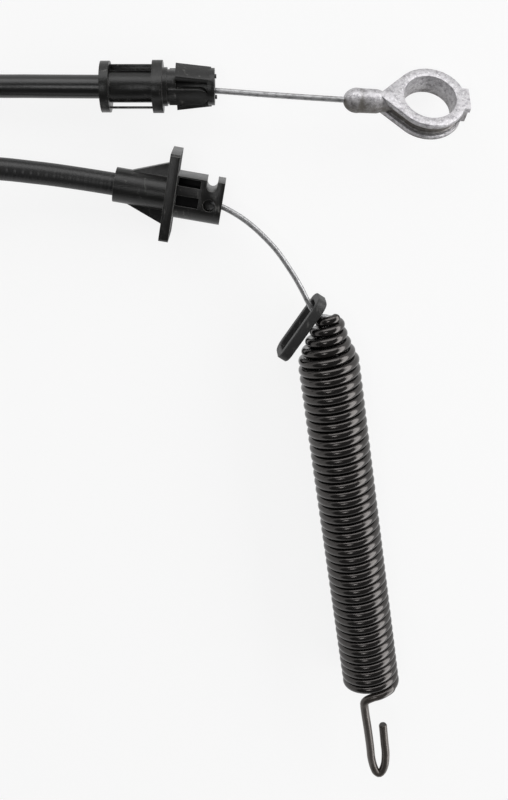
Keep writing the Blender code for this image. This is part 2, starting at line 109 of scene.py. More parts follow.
def gridMesh(name, grid, wrapU=False, uv=None):
    # A closed surface on an (m, n, 3) grid: V wraps, and U wraps or has one flat face at each end.
    # The sum of the cones from the middle point is negative where the faces point inwards.
    m, n = grid.shape[:2]
    i, j = np.meshgrid(np.arange(m if wrapU else m - 1), np.arange(n), indexing="ij")
    rows = np.stack([i, i + 1, i + 1, i], axis=-1).reshape(-1, 4)
    columns = np.stack([j, j, j + 1, j + 1], axis=-1).reshape(-1, 4)
    quads = rows % m * n + columns % n
    ends = [] if wrapU else [list(range(n)), list(range((m - 1) * n, m * n))[::-1]]
    points = grid.reshape(-1, 3)
    a, b, c, d = (points[quads[:, k]] - points.mean(axis=0) for k in range(4))
    volume = (np.cross(a, b) * c + np.cross(a, c) * d).sum()
    if volume < 0:
        quads, rows, columns = quads[:, ::-1], rows[:, ::-1], columns[:, ::-1]
        ends = [end[::-1] for end in ends]
    mesh = bpy.data.meshes.new(name)
    mesh.from_pydata(points.tolist(), [], quads.tolist() + ends)
    if uv is not None:
        layer = mesh.uv_layers.new(name="along")
        values = np.zeros((len(mesh.loops), 2))
        values[:quads.size, 0] = uv[0][rows].ravel()
        values[:quads.size, 1] = uv[1][columns].ravel()
        layer.data.foreach_set("uv", values.ravel())
    mesh.update()
    return linked(name, mesh)


def setPaintedShade(piece, values):
    # How much painted shade each point takes, for the material to read
    layer = piece.data.attributes.new("paintedShade", "FLOAT", "POINT")
    layer.data.foreach_set("value", np.asarray(values, np.float32).ravel())
    return piece


def smooth(piece, angle):
    piece.data.shade_smooth()
    piece.data.set_sharp_from_angle(angle=math.radians(angle))
    return piece


def sweptTube(name, line, radii, sides, up=(0, 0, 1), lobes=None):
    # p(s, a) = line(s) + r(s, a) (cos a side(s) + sin a rise(s)), with side and rise square to the line
    tangent = unit(np.gradient(line, axis=0))
    side = unit(np.cross(tangent, np.broadcast_to(np.asarray(up, float), line.shape)))
    rise = np.cross(side, tangent)
    a = np.linspace(0, 2 * np.pi, sides, endpoint=False)
    r = np.broadcast_to(np.asarray(radii, float).reshape(-1, 1), (len(line), sides))
    run = runAlong(line)
    if lobes is not None:
        r = r * lobes(run[:, None], a[None, :])
    across = np.cos(a)[None, :, None] * side[:, None] + np.sin(a)[None, :, None] * rise[:, None]
    grid = line[:, None] + r[..., None] * across
    return gridMesh(name, grid, uv=(run / uvStep, np.arange(sides + 1) / sides))


def arcPoints(centre, radius, start, end, count):
    # p(a) = centre + radius (cos a, sin a)
    a = np.radians(np.linspace(start, end, count))
    return np.stack([centre[0] + radius * np.cos(a), centre[1] + radius * np.sin(a)], axis=1)


def roundedLoop(halfX, halfY, corner, inset, count):
    # A rectangle with an arc at each corner, drawn the inset inside its outer edge
    x, y = halfX - corner, halfY - corner
    centres = ((x, y), (-x, y), (-x, -y), (x, -y))
    return np.concatenate([arcPoints(centre, corner - inset, 90 * k, 90 * k + 90, count)
                           for k, centre in enumerate(centres)])


def brokenBar(half, rise, edge):
    # A rectangle with its corners cut off by the edge, as (across, rise)
    x, z = half - edge, rise - edge
    return np.array([(-x, rise), (x, rise), (half, z), (half, -z),
                     (x, -rise), (-x, -rise), (-half, -z), (-half, z)])


def barRound(path, section):
    # p(s, t) = path(s) + across(t) outward(s) in the path's plane, with rise(t) square to it
    tangent = unit(np.roll(path, -1, axis=0) - np.roll(path, 1, axis=0))
    outward = np.stack([tangent[:, 1], -tangent[:, 0]], axis=1)
    flat = path[:, None] + outward[:, None] * section[None, :, :1]
    return np.concatenate([flat, np.broadcast_to(section[None, :, 1:], (*flat.shape[:2], 1))], axis=-1)


softEdges = {"weld": 0.000002, "flat": 2, "sharp": 30, "segments": 2}


def softened(node, name, width):
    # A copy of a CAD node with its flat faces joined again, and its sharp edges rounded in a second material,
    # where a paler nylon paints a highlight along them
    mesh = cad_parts[node].data.copy()
    flat = bmesh.new()
    flat.from_mesh(mesh)
    bmesh.ops.remove_doubles(flat, verts=flat.verts, dist=softEdges["weld"])
    bmesh.ops.dissolve_limit(flat, angle_limit=math.radians(softEdges["flat"]),
                             verts=flat.verts, edges=flat.edges)
    flat.to_mesh(mesh)
    flat.free()
    while len(mesh.materials) < 2:
        mesh.materials.append(None)
    made = linked(name, mesh)
    edges = made.modifiers.new("edges", "BEVEL")
    edges.width = width
    edges.segments = softEdges["segments"]
    edges.limit_method = "ANGLE"
    edges.angle_limit = math.radians(softEdges["sharp"])
    edges.use_clamp_overlap = True
    edges.material = 1
    solid = made.evaluated_get(bpy.context.evaluated_depsgraph_get())
    rounded = bpy.data.meshes.new_from_object(solid)
    made.modifiers.clear()
    made.data = rounded
    return smooth(made, 40)


# Materials
class Sock:
    # Wraps an output socket, so that shader maths reads as an expression
    def __init__(self, book, socket):
        self.book, self.socket = book, socket

    def math(self, operation, *values):
        return self.book.add("Math", {"operation": operation}, dict(enumerate(values)))

    def __add__(self, other):
        return self.math("ADD", self, other)

    def __radd__(self, other):
        return self.math("ADD", other, self)

    def __sub__(self, other):
        return self.math("SUBTRACT", self, other)

    def __rsub__(self, other):
        return self.math("SUBTRACT", other, self)

    def __mul__(self, other):
        return self.math("MULTIPLY", self, other)

    def __rmul__(self, other):
        return self.math("MULTIPLY", other, self)

    def sine(self):
        return self.math("SINE", self)

    def clipped(self, low, high):
        # 0 below low, 1 above high, and smooth between
        return self.book.add("MapRange", {"interpolation_type": "SMOOTHSTEP"},
                             {"Value": self, "From Min": low, "From Max": high})


class Book:
    # One material's nodes
    def __init__(self, name):
        self.material = bpy.data.materials.new(name)
        self.material.use_nodes = True
        self.tree = self.material.node_tree
        self.shader = self.tree.nodes["Principled BSDF"]
        self.place = self.add("TexCoord", {}, {}, "Object")

    def add(self, kind, settings, inputs, output=0):
        node = self.tree.nodes.new("ShaderNode" + kind)
        for key, value in settings.items():
            setattr(node, key, value)
        for key, value in inputs.items():
            self.plug(node.inputs[key], value)
        return Sock(self, node.outputs[output])

    def plug(self, socket, value):
        if isinstance(value, Sock):
            self.tree.links.new(value.socket, socket)
        else:
            socket.default_value = value

    def noise(self, scale, detail, roughness=0.55, place=None, distortion=0.0):
        return self.add("TexNoise", {}, {"Vector": place or self.place, "Scale": scale, "Detail": detail,
                                         "Roughness": roughness, "Distortion": distortion}, "Fac")

    def along(self):
        # Centimetres along a swept piece
        return self.add("SeparateXYZ", {}, {0: self.add("UVMap", {"uv_map": "along"}, {})}, "X")

    def mix(self, amount, first, second):
        # A Mix node's colours are its inputs 6 and 7 and its output 2
        first, second = (tone if isinstance(tone, Sock) else (*tone, 1) for tone in (first, second))
        return self.add("Mix", {"data_type": "RGBA"}, {0: amount, 6: first, 7: second}, 2)

    def bump(self, height, strength, depth):
        return self.add("Bump", {}, {"Strength": strength, "Distance": depth, "Height": height}, "Normal")

    def finish(self, **sockets):
        for key, value in sockets.items():
            self.plug(self.shader.inputs[key.replace("_", " ")], value)
        return self.material


blackNylon = {
    "base": (0.0046, 0.0045, 0.0042), "worn": (0.10, 0.098, 0.094), "roughness": 0.33, "gloss": 0.40,
    "scuffScale": 900, "grainScale": 3600, "grainDepth": 0.00009,
}
# The rounded edges' paler nylon: a painted highlight along every edge
edgeHighlight = {**blackNylon, "base": (0.12, 0.118, 0.113), "roughness": 0.34}
# Near-black nylon for the pocket floors: a painted shade in the recesses
pocketShade = {
    **blackNylon, "base": (0.0030, 0.0030, 0.0030), "worn": (0.012, 0.012, 0.012),
    "roughness": 0.60, "gloss": 0.15,
}
greyNylon = {**blackNylon, "base": (0.020, 0.020, 0.020), "roughness": 0.5}


def nylonMaterial(name, base, worn, roughness, gloss, scuffScale, grainScale, grainDepth):
    # Moulded nylon: slanting scuffs turn paler where a broad cloud lets them, over a fine grain
    book = Book(name)
    slanted = book.add("Mapping", {}, {"Vector": book.place, "Rotation": (0, 0, 0.5),
                                       "Scale": (1.0, 0.28, 1.0)})
    cloud = book.noise(260, 3)
    scuff = book.noise(scuffScale, 5, 0.65, slanted)
    grain = book.noise(grainScale, 2)
    marks = scuff.clipped(0.55, 0.70) * cloud.clipped(0.42, 0.60)
    return book.finish(Specular_IOR_Level=gloss, Base_Color=book.mix(marks * 0.75, base, worn),
                       Roughness=roughness + 0.16 * (cloud - 0.5) + 0.12 * marks,
                       Normal=book.bump(grain + 0.8 * scuff, 0.5, grainDepth))


blackJacket = {
    "base": (0.0050, 0.0049, 0.0051), "dust": (0.035, 0.034, 0.033), "roughness": 0.30, "gloss": 0.50,
    "ribPitch": 0.0021, "ribDepth": 0.00007, "ribFrom": 66.0, "ribOver": 4.0,
}


def jacketMaterial(name, base, dust, roughness, gloss, ribPitch, ribDepth, ribFrom, ribOver):
    # Extruded jacket: the armour's turns show through as two sine waves, strongly from ribFrom centimetres on
    book = Book(name)
    along = book.along()
    cloud = book.noise(150, 4)
    speck = book.noise(2600, 2)
    ribbed = along.clipped(ribFrom, ribFrom + ribOver)
    turn = along * (uvStep / ribPitch * 2 * math.pi)
    ribs = (turn.sine() + 0.5 * (turn * 2).sine()) * (0.10 + 0.90 * ribbed)
    return book.finish(Specular_IOR_Level=gloss,
                       Base_Color=book.mix(speck.clipped(0.66, 0.76) * cloud * 0.6, base, dust),
                       Roughness=roughness + 0.14 * (cloud - 0.5) + 0.12 * ribbed,
                       Normal=book.bump(ribs + 0.6 * speck, 0.5, ribDepth))


castZinc = {
    "base": (0.47, 0.46, 0.475), "dark": (0.27, 0.262, 0.275), "bright": (0.67, 0.66, 0.675),
    "pitsAndShade": (0.11, 0.102, 0.092), "roughness": 0.36, "grainDepth": 0.00018,
}


def zincMaterial(name, base, dark, bright, pitsAndShade, roughness, grainDepth):
    # Cast skin: dark clouds, bright flecks and sooty pits, and painted shade in the pits' colour wherever the
    # shade attribute is high
    book = Book(name)
    paintedShade = book.add("Attribute", {"attribute_name": "paintedShade"}, {}, "Fac")
    cloud = book.noise(900, 5, 0.65)
    fleck = book.noise(2400, 4, 0.6, distortion=0.6)
    pits = book.noise(3400, 2)
    shadeDepth = paintedShade * (0.45 + 0.9 * cloud)
    tone = book.mix(cloud.clipped(0.44, 0.66), base, dark)
    tone = book.mix(fleck.clipped(0.54, 0.66) * 0.8, tone, bright)
    # Painted shade: the groove, the barrel's underside and the lower lug darken towards the pits' colour
    tone = book.mix(shadeDepth.clipped(0.05, 0.85), tone, pitsAndShade)
    tone = book.mix(pits.clipped(0.60, 0.72) * 0.45, tone, pitsAndShade)
    return book.finish(Base_Color=tone, Metallic=0.78 - 0.20 * shadeDepth,
                       Roughness=roughness + 0.26 * (cloud - 0.45) + 0.10 * (pits - 0.5) + 0.12 * shadeDepth,
                       Normal=book.bump(fleck + 0.35 * pits, 0.6, grainDepth))


springSteel = {
    "base": (0.0045, 0.0041, 0.0040), "brown": (0.075, 0.065, 0.058), "fleck": (0.16, 0.155, 0.15),
    "sheen": (1.0, 0.94, 0.91, 1), "roughness": 0.17, "gloss": 0.68, "grainDepth": 0.00002, "bareOver": 1.2,
}


def springMaterial(name, base, brown, fleck, sheen, roughness, gloss, grainDepth, bareOver, hookFrom):
    # Glossy black coating, thin and brown from hookFrom centimetres on, with a few pale flecks
    book = Book(name)
    cloud = book.noise(420, 4)
    speck = book.noise(2800, 3, 0.6)
    bare = book.along().clipped(hookFrom, hookFrom + bareOver)
    colour = book.mix(bare * (0.45 + 0.5 * cloud), base, brown)
    colour = book.mix(speck.clipped(0.68, 0.78) * 0.5, colour, fleck)
    return book.finish(Specular_IOR_Level=gloss, Specular_Tint=sheen, Base_Color=colour,
                       Roughness=roughness + 0.12 * bare + 0.10 * (cloud - 0.4), Metallic=0.25 * bare,
                       Normal=book.bump(speck + 1.5 * cloud, 0.4, grainDepth))


steelRope = {
    "base": (0.36, 0.36, 0.365), "dark": (0.16, 0.16, 0.16), "roughness": 0.45, "grainDepth": 0.00002,
}
endSteel = {**steelRope, "base": (0.10, 0.10, 0.10), "dark": (0.04, 0.04, 0.04), "roughness": 0.5}
armourSteel = {**steelRope, "base": (0.52, 0.52, 0.53), "dark": (0.25, 0.25, 0.26), "roughness": 0.3}


def steelMaterial(name, base, dark, roughness, grainDepth):
    # Plain steel with darker clouds and a fine grain
    book = Book(name)
    cloud = book.noise(700, 4)
    grain = book.noise(4200, 3)
    return book.finish(Base_Color=book.mix(cloud.clipped(0.45, 0.70) * 0.7, base, dark), Metallic=0.92,
                       Roughness=roughness + 0.18 * (grain - 0.5), Normal=book.bump(grain, 0.4, grainDepth))


whiteLiner = {"base": (0.62, 0.61, 0.57), "pale": (0.74, 0.73, 0.70), "roughness": 0.42}


def linerMaterial(name, base, pale, roughness):
    # Slippery white plastic, a little uneven
    book = Book(name)
    cloud = book.noise(500, 3)
    return book.finish(Base_Color=book.mix(cloud, base, pale), Roughness=roughness + 0.1 * (cloud - 0.5))


nylon = nylonMaterial("blackNylon", **blackNylon)
nylonEdgeHighlight = nylonMaterial("nylonEdgeHighlight", **edgeHighlight)
nylonPocketShade = nylonMaterial("nylonPocketShade", **pocketShade)
linkNylon = nylonMaterial("greyNylon", **greyNylon)
sheath = jacketMaterial("blackJacket", **blackJacket)
zinc = zincMaterial("castZinc", **castZinc)
rope = steelMaterial("steelRope", **steelRope)
darkSteel = steelMaterial("darkSteel", **endSteel)
brightSteel = steelMaterial("armourSteel", **armourSteel)
liner = linerMaterial("whiteLiner", **whiteLiner)
print("materials made")


# Camera, floor and light
view = {
    "place": (-0.00800, 0.13447, 0.31174), "lean": 21.0, "focalPixels": 1142, "longSide": 800, "sensor": 36.0,
}


def lookDown(place, lean, focalPixels, longSide, sensor):
    # Looks straight down, then leans forward about X
    camera = linked("camera", bpy.data.cameras.new("camera"))
    a = math.radians(lean)
    turn = Matrix(((1, 0, 0), (0, math.cos(a), math.sin(a)), (0, -math.sin(a), math.cos(a))))
    camera.matrix_world = Matrix.Translation(place) @ turn.to_4x4()
    camera.data.sensor_width = sensor
    camera.data.lens = focalPixels / longSide * sensor
    camera.data.clip_start, camera.data.clip_end = 0.01, 20
    bpy.context.scene.camera = camera


lights = [
    # name, place, size x, size y, power
    ("keyLight", (-0.10, 0.85, 0.42), 1.10, 0.60, 5.0),
    ("rightSide", (0.80, 0.05, 0.29), 2.20, 0.46, 13.5),
    ("overhead", (-0.26, 0.14, 0.88), 0.28, 0.28, 1.1),
]


def softLight(name, place, sizeX, sizeY, power):
    # A rectangle that looks at the origin
    lamp = bpy.data.lights.new(name, "AREA")
    lamp.shape = "RECTANGLE"
    lamp.size, lamp.size_y, lamp.energy = sizeX, sizeY, power
    made = linked(name, lamp)
    made.location = place
    made.rotation_euler = (-Vector(place)).to_track_quat("-Z", "Y").to_euler()


backdrop = {
    # profile: the radius and height of each circle, from the floor's edge to the top of the backdrop
    "profile": ((2.4, 0), (2.7, 0.06), (2.9, 0.25), (3.0, 0.60), (3.0, 1.40)),
    "sides": 64, "tone": 0.80, "mottle": 0.01, "roughness": 0.9, "showThrough": 0.86,
}


def paleFloor(profile, sides, tone, mottle, roughness, showThrough):
    # A round floor that turns up into a low backdrop: p(k, a) = (r(k) cos a, r(k) sin a, z(k))
    radius, height = np.array(profile).T[..., None]
    a = np.linspace(0, 2 * np.pi, sides, endpoint=False)
    grid = np.stack([radius * np.cos(a), radius * np.sin(a), height + 0 * a], axis=-1)
    row, j = np.meshgrid(np.arange(len(profile) - 1) * sides, np.arange(sides), indexing="ij")
    after = (j + 1) % sides
    quads = np.stack([row + sides + j, row + sides + after, row + after, row + j], axis=-1).reshape(-1, 4)
    mesh = bpy.data.meshes.new("floor")
    mesh.from_pydata(grid.reshape(-1, 3).tolist(), [], [list(range(sides)), *quads.tolist()])
    floor = linked("floor", mesh)
    # The camera, reflections and clear pieces see mostly plain white, and the rest of it takes the shadow
    book = Book("paleFloor")
    book.finish(Base_Color=book.mix(book.noise(4, 2), (tone,) * 3, (tone + mottle,) * 3), Roughness=roughness)
    camera, glossy, through = (book.add("LightPath", {}, {}, kind) for kind in (
        "Is Camera Ray", "Is Glossy Ray", "Is Transmission Ray"))
    matt, white = Sock(book, book.shader.outputs[0]), book.add("Emission", {}, {})
    mixed = book.add("MixShader", {}, {0: (camera + glossy + through) * showThrough, 1: matt, 2: white})
    book.plug(book.tree.nodes["Material Output"].inputs[0], mixed)
    mesh.materials.append(book.material)


def plainWorld(strength=0.12):
    world = bpy.data.worlds.new("studio")
    bpy.context.scene.world = world
    world.use_nodes = True
    ground = world.node_tree.nodes["Background"]
    ground.inputs[0].default_value = (1, 1, 1, 1)
    ground.inputs[1].default_value = strength


lookDown(**view)
for lamp in lights:
    softLight(*lamp)
paleFloor(**backdrop)
plainWorld()
bpy.context.scene.view_settings.view_transform = "Standard"
print("camera, floor and lights set")


# Places shared by the pieces, in metres and degrees
places = {
    "fitting": (-0.04745, 0.10425, 0.0067), "fittingRoll": 55, "fittingInner": 0.0133,
    "anchor": (-0.04506, 0.07913, 0.0072), "anchorTurn": -9.9,
    "spring": (0.01115, 0.04145, 0.00873), "springTurn": 8.5,
    "eye": (0.03694, 0.10014), "eyeRadius": 0.00935, "eyeThick": 0.0057, "eyeTilt": 47, "eyeDip": 5,
    "link": (0.0052, 0.0392, 0.0069), "linkTurn": 236.1, "linkLean": -3,
}
fittingRoll, eyeTilt, eyeDip = (math.radians(places[key]) for key in ("fittingRoll", "eyeTilt", "eyeDip"))
fittingFrame = axesFrame(places["fitting"], (1, 0, 0), (0, math.sin(fittingRoll), math.cos(fittingRoll)))
anchorFrame = axesFrame(places["anchor"], heading(places["anchorTurn"]), (0, 0, 1))
springFrame = axesFrame(places["spring"], heading(places["springTurn"] - 90), (0, 0, 1))

# The eye points along its wire, leans over and rests on its rim
eyeX, eyeY = places["eye"]
wireStart = fittingFrame @ Vector((places["fittingInner"], 0, 0))
eyeYaw = math.atan2(eyeY - wireStart.y, eyeX - wireStart.x)
eyeAlong = Matrix.Rotation(eyeYaw, 3, "Z") @ Vector((math.cos(eyeDip), 0, -math.sin(eyeDip)))
eyeFrame = axesFrame((0, 0, 0), eyeAlong, (0, math.sin(eyeTilt), math.cos(eyeTilt)))
faceUp = eyeFrame[2][2]
eyeHeight = places["eyeRadius"] * math.sqrt(1 - faceUp ** 2) + places["eyeThick"] / 2 * faceUp
eyeFrame.translation = (eyeX, eyeY, eyeHeight)

linkAlong = heading(places["linkTurn"])
linkLean = Matrix.Rotation(math.radians(places["linkLean"]), 3, linkAlong)
linkFrame = axesFrame(places["link"], linkAlong, -(linkLean @ heading(places["linkTurn"] + 90)))


def dress(piece, name, body, slot, surface, *nodes):
    # surface is one material, or one for the faces and then one for each other kind of face
    piece.name = name
    piece.data.name = name
    surfaces = surface if isinstance(surface, tuple) else (surface,)
    while len(piece.data.materials) < len(surfaces):
        piece.data.materials.append(None)
    for k, made in enumerate(surfaces):
        piece.data.materials[k] = made
    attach(piece, body)
    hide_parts(*nodes)
    return piece


# Conduit
conduit = {
    "radius": 0.0030, "step": 0.0012, "sides": 28, "intoFitting": 0.0017, "intoAnchor": 0.0087,
    "coilCentre": (-0.1325, 0.0942), "coilRadius": 0.0360, "coilZ": 0.00415, "layer": 0.0061, "fullTurns": 2,
    "perTurn": 24, "joinAngle": 40.2, "rampShare": 0.223,
    "bendX": -0.0774, "bendAside": 0.04635, "bendFrom": 34, "bendTo": 46, "bendFall": 0.0009,
}
upperRoute = [
    (-0.0550, 0.10425, 0.0063), (-0.0660, 0.10425, 0.0056), (-0.0774, 0.10428, 0.0047),
    (-0.0850, 0.10525, 0.0043), (-0.0936, 0.10830, 0.0041),
]
lowerRoute = [
    (-0.0550, 0.08075, 0.0073), (-0.0650, 0.08225, 0.0080), (-0.0774, 0.08382, 0.0102),
    (-0.0850, 0.08305, 0.0122), (-0.0936, 0.08005, 0.0146),
]


def conduitLine():
    centreX, centreY = conduit["coilCentre"]
    radius, floorZ, layer = conduit["coilRadius"], conduit["coilZ"], conduit["layer"]
    join, share, fullTurns = conduit["joinAngle"], conduit["rampShare"], conduit["fullTurns"]
    topZ = floorZ + fullTurns * layer
    # S-bends: circles of the coil's radius that meet it at plus and minus the join angle
    a = np.radians(np.linspace(conduit["bendFrom"], conduit["bendTo"], 3))
    out = a[::-1]
    fall = conduit["bendFall"] * np.linspace(0, 1, 3) ** 2
    bendIn = np.stack([conduit["bendX"] - radius * np.sin(a),
                       centreY + conduit["bendAside"] - radius * np.cos(a), np.full(3, floorZ)], axis=1)
    bendOut = np.stack([conduit["bendX"] - radius * np.sin(out),
                        centreY - conduit["bendAside"] + radius * np.cos(out), topZ - fall], axis=1)
    # Coil: angle grows with t turns, and z climbs a layer in the last share of each turn
    turns = fullTurns + (360 - 2 * join) / 360
    t = np.linspace(0, turns, int(conduit["perTurn"] * turns) + 1)
    angle = np.radians(join + 360 * t)
    climb = np.clip(((t % 1) - (1 - share)) / share, 0, 1)
    z = floorZ + layer * (np.floor(t) + climb ** 2 * (3 - 2 * climb))
    z[t >= fullTurns] = topZ
    turned = np.stack([centreX + radius * np.cos(angle), centreY + radius * np.sin(angle), z], axis=1)
    start = [pointIn(fittingFrame, x) for x in (conduit["intoFitting"], 0)]
    end = [pointIn(anchorFrame, x) for x in (0, conduit["intoAnchor"])]
    return throughPoints([*start, *upperRoute, *bendIn, *turned, *bendOut, *lowerRoute[::-1], *end],
                         conduit["step"])


conduitRun = conduitLine()
conduitPiece = smooth(sweptTube("conduit", conduitRun, conduit["radius"], conduit["sides"]), 50)
dress(conduitPiece, "conduit", "conduit", "black_jacket", sheath,
      "conduit_upper_lead", "conduit_coil", "conduit_lower_lead")


# Straps round the coil
strapAngles = {"A": 120, "B": 240}
strap = {"half": 0.0020, "thick": 0.0008, "corner": 0.0024, "gap": 0.0004, "top": 0.0205, "edge": 0.0002}


def strapRing(name, angle, half, thick, corner, gap, top, edge):
    # A bar carried round a rounded rectangle, which stands in the coil's (radius, height) plane
    path = roundedLoop(conduit["radius"] + gap + thick, top / 2, corner, thick / 2, 8)
    grid = barRound(path, brokenBar(thick / 2, half, edge))[..., [0, 2, 1]]
    turn = Matrix.Rotation(math.radians(angle), 4, "Z")
    turn.translation = (*conduit["coilCentre"], 0)
    return smooth(gridMesh(name, placedBy(turn, grid + (conduit["coilRadius"], 0, top / 2)), wrapU=True), 30)


for letter, angle in strapAngles.items():
    band = strapRing("strap" + letter, angle, **strap)
    dress(band, "strap" + letter, "conduit", "black_nylon", nylon, "coil_tie_" + letter.lower())
print("straps made")


# Wires
wire = {
    "radius": 0.00075, "strands": 6, "lay": 0.0075, "depth": 0.08, "step": 0.0004, "sides": 36,
    "upperFrom": 0.0045, "fittingNose": 0.0292, "eyeMouth": -0.0222, "upperTo": -0.0142,
    "bow": ((0.33, -0.0006), (0.65, 0.0004)), "lowerFrom": 0.0093, "anchorMouth": 0.0206,
}
lowerWireRoute = [
    (-0.0215, 0.07480, 0.0072), (-0.0155, 0.07258, 0.0073), (-0.0091, 0.06849, 0.0076),
    (-0.0026, 0.06217, 0.0079), (0.0019, 0.05591, 0.0081), (0.0049, 0.05089, 0.0083),
    (0.00775, 0.04535, 0.0083), (0.0099, 0.04325, 0.0089),
]
wireIntoSpring = ((-0.0002, 0.0022), (0.0041, 0), (0.0102, 0))


def strandLobes(run, angle):
    # Rounded strands that turn once in each lay: 1 - depth (1 - |cos(strands / 2 (a - 2 pi s / lay))|)^1.5
    wave = np.abs(np.cos(wire["strands"] / 2 * (angle - 2 * np.pi * run / wire["lay"])))
    return 1 - wire["depth"] * (1 - wave) ** 1.5


def layWire(name, points, node):
    # A stranded tube through the points, left in world place, in place of the CAD node it hides
    run = throughPoints(points, wire["step"])
    piece = smooth(sweptTube(name, run, wire["radius"], wire["sides"], lobes=strandLobes), 60)
    piece.data.materials.append(rope)
    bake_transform(piece)
    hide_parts(node)


eyeMouth = eyeFrame @ Vector((wire["eyeMouth"], 0, 0))
bowed = [tuple(wireStart.lerp(eyeMouth, share) + Vector((0, 0, lift))) for share, lift in wire["bow"]]
upperPoints = [pointIn(fittingFrame, wire["upperFrom"]), tuple(wireStart), *bowed, tuple(eyeMouth),
               pointIn(eyeFrame, wire["upperTo"])]
layWire("upperWire", upperPoints,
        "upper_wire")
lowerEnds = [pointIn(anchorFrame, wire[key]) for key in ("lowerFrom", "anchorMouth")]
stopEnds = [pointIn(springFrame, x, y) for x, y in wireIntoSpring]
layWire("lowerWire", [*lowerEnds, *lowerWireRoute, *stopEnds],
        "lower_wire")
print("wires made")


# Extension spring: reach, low, high, rise and legStart place its hook
spring = {
    "wire": 0.00129, "radius": 0.00743, "mouth": 0.00275, "aside": 0.0017, "pitch": 0.00267, "lead": 0.4,
    "turns": 44.6, "cone": 4.3, "straight": 4.0, "reach": 0.0341, "low": 0.0018, "high": 0.0059,
    "rise": 0.0012, "legStart": -0.0283, "endTaper": 0.82, "sides": 18, "perTurn": 40, "hookStep": 0.0004,
}
crossingRoute = (
    (0.0003, 0.0053, 0.0054), (0.0006, 0.0024, 0.0070), (0.0011, -0.0004, 0.0071), (0.0025, -0.0027, 0.0066),
    (0.0052, -0.0032, 0.0059),
)
legRoute = ((-0.0190, -0.0031), (-0.0120, -0.0031), (-0.0075, -0.0032), (-0.0039, -0.0030))
bendRoute = ((-0.0013, -0.0025), (-0.0003, -0.0019), (0, -0.0014), (-0.0003, -0.0008), (-0.0013, 0))
returnRoute = ((-0.0039, 0.0009), (-0.0080, 0.0015), (-0.0121, 0.0016), (-0.0196, 0.0018))


def springTurns():
    # Helix: p(t) = (pitch t, aside(t) + r(t) cos a, r(t) sin a), a = 2 pi t + pi, and r grows over the cone
    lead, turns, mouth = spring["lead"], spring["turns"], spring["mouth"]
    t = np.linspace(-lead, turns, round(spring["perTurn"] * (turns + lead)) + 1)
    r = mouth + (spring["radius"] - mouth) * np.minimum(1, t / spring["cone"])
    a = 2 * np.pi * t + np.pi
    aside = spring["aside"] * np.maximum(0, 1 - t / spring["straight"]) ** 2
    return np.stack([spring["pitch"] * t, aside + r * np.cos(a), r * np.sin(a)], axis=1)


def springHook(start):
    # From the last turn across the mouth, down the leg, round the bend and back up
    end, low, high, legStart = start[0], spring["low"], spring["high"], spring["legStart"]
    tip = end + spring["reach"]
    fall, climb = legRoute[-1][0] - legStart, returnRoute[-1][0]
    route = [(end + x, y, z) for x, y, z in crossingRoute]
    route += [(tip + x, y, high + (low - high) * (x - legStart) / fall) for x, y in legRoute]
    route += [(tip + x, y, low) for x, y in bendRoute]
    route += [(tip + x, y, low + spring["rise"] * x / climb) for x, y in returnRoute]
    return throughPoints([tuple(start), *route], spring["hookStep"])[1:]


turnPoints = springTurns()
springPoints = np.concatenate([turnPoints, springHook(turnPoints[-1])])
# The ring of the tube is set out from the spring's axis on the turns, and from Z along the hook
change = spring["perTurn"] / 5
onHook = np.clip((np.arange(len(springPoints)) - (len(turnPoints) - change)) / change, 0, 1)[:, None]
ringUp = (1 - onHook) * np.array([[1.0, 0, 0]]) + onHook * np.array([[0, 0, 1.0]])
springRadii = np.full(len(springPoints), spring["wire"])
springRadii[[0, -1]] *= spring["endTaper"]
springWorld = placedBy(springFrame, springPoints)
springPiece = smooth(sweptTube("extensionSpring", springWorld, springRadii, spring["sides"],
                               ringUp @ np.array(springFrame)[:3, :3].T), 60)
hookFrom = float(runAlong(springWorld[:len(turnPoints)])[-1]) / uvStep
blackSpring = springMaterial("blackSpringSteel", **springSteel, hookFrom=hookFrom)
dress(springPiece, "extensionSpring", "spring_end", "black_spring_steel", blackSpring, "extension_spring")
print("spring made")


# Retainer link
link = {"length": 0.0204, "width": 0.0100, "thick": 0.0028, "rim": 0.0021, "corner": 0.0030, "edge": 0.00025}


def linkRing(length, width, thick, rim, corner, edge):
    # A bar with broken corners, carried round a rounded rectangle that lies half a rim inside the outline
    path = roundedLoop(length / 2, width / 2, corner, rim / 2, 10)
    grid = barRound(path, brokenBar(rim / 2, thick / 2, edge))
    return smooth(gridMesh("retainerLink", placedBy(linkFrame, grid), wrapU=True), 30)


dress(linkRing(**link), "retainerLink", "link", "black_nylon", linkNylon, "retainer_link")
print("link made")


# Cast eye
eye = {
    "radius": places["eyeRadius"], "thick": places["eyeThick"], "hole": 0.0068, "tip": 0.0135,
    "flange": 0.0016, "groove": 0.0010, "draft": 0.0005, "round": 0.00022, "steps": 144,
    "barrel": 0.00318, "neck": 0.0026, "barrelStart": -0.0222, "domeLength": 0.0036, "domeFrom": 8,
    "neckStart": -0.0120, "neckEnd": -0.0088, "barrelSides": 40,
}
barrelSteps = ((-0.0182, 0.985), (-0.0178, 0.97), (-0.0160, 0.965), (-0.0134, 0.955))  # place, share of barrel
# Painted shade for each point of the ring's section, deepest in the groove under the top flange
ringShade = (0.3, 0.05, 0, 0, 0, 0.12, 0.10, 0.45, 0.95, 1, 1, 0.75, 0.55, 0, 0.1, 0.6, 0.7, 0.7, 0, 0, 0.5)
# Painted shade in rings round the barrel's steps and dome, and on its underside
barrelShade = ((-0.0178, 0.0006, 0.5), (-0.0222, 0.0007, 0.4))  # place, spread, amount
underShade = {"amount": 0.8, "turn": 0.5}
lugs = (
    # name, centre, half size, power, painted shade
    ("eyeLugTop", (0.0089, 0, 0.00200), (0.0015, 0.0033, 0.00080), 0.06, 0),
    ("eyeLug", (0.0086, 0, -0.0004), (0.0015, 0.0029, 0.00240), 0.08, 0.45),
)


